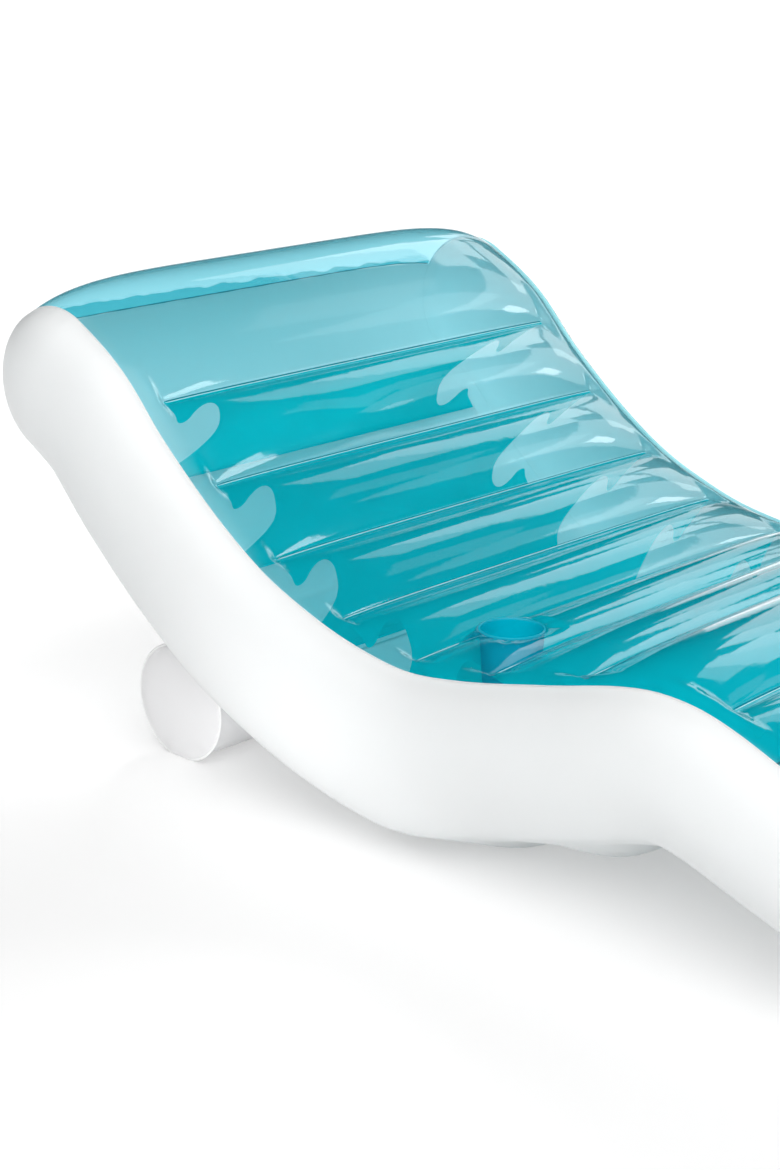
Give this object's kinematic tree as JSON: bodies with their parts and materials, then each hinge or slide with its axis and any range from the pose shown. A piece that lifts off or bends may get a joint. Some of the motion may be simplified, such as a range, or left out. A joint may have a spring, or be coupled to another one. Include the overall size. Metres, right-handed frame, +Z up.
{
  "type": "inflatable pool chair",
  "caption": "Wave-shaped inflatable pool lounger: clear teal deck film over notched cross webs, white base and sides, moulded cup holder, prop roll under the backrest, tethered valve plugs",
  "frame": {"origin": "On the ground, under the middle of the chair's box", "axes": "+X across to the far side, +Y along to the head end, +Z up"},
  "size_m": [0.99, 1.91, 0.6588],
  "materials": {
    "teal_film": "glossy clear tinted vinyl film",
    "web_film": "teal vinyl film, welded",
    "white_film": "satin white vinyl film",
    "cup_vinyl": "moulded see-through blue vinyl",
    "valve_vinyl": "moulded clear-white vinyl"
  },
  "bodies": {
    "chair": {"deck_film": "teal_film", "base_film": "white_film", "side_wall_near": "white_film", "side_wall_far": "white_film", "diaphragm_01": "web_film", "diaphragm_02": "web_film", "diaphragm_03": "web_film", "diaphragm_04": "web_film", "diaphragm_05": "web_film", "diaphragm_06": "web_film", "diaphragm_07": "web_film", "diaphragm_08": "web_film", "diaphragm_09": "web_film", "diaphragm_10": "web_film", "cup_holder": "cup_vinyl", "roll_tube": "white_film", "roll_end_near": "white_film", "roll_end_far": "white_film", "roll_weld_strip": "white_film", "body_valve_stem": "valve_vinyl", "roll_valve_stem": "valve_vinyl"},
    "body_plug": {"body_valve_plug": "valve_vinyl"},
    "body_flap": {"body_valve_flap": "valve_vinyl"},
    "roll_plug": {"roll_valve_plug": "valve_vinyl"},
    "roll_flap": {"roll_valve_flap": "valve_vinyl"}
  },
  "joints": [
    {"name": "body_plug_strap", "type": "hinge", "parent": "chair", "child": "body_plug", "pos_m": [0.11995, 0.76623, 0.2591], "axis": [1, 0, 0], "range_deg": [0, 150]},
    {"name": "body_flap_hinge", "type": "hinge", "parent": "chair", "child": "body_flap", "pos_m": [0.11995, 0.74578, 0.27015], "axis": [-1, 0, 0], "range_deg": [0, 60], "stiffness_Nm_per_rad": 0.0002},
    {"name": "roll_plug_strap", "type": "hinge", "parent": "chair", "child": "roll_plug", "pos_m": [0.4349, 0.60812, 0.09697], "axis": [0, -1, 0], "range_deg": [0, 150]},
    {"name": "roll_flap_hinge", "type": "hinge", "parent": "chair", "child": "roll_flap", "pos_m": [0.413, 0.60812, 0.08917], "axis": [0, 1, 0], "range_deg": [0, 60], "stiffness_Nm_per_rad": 0.0002}
  ]
}
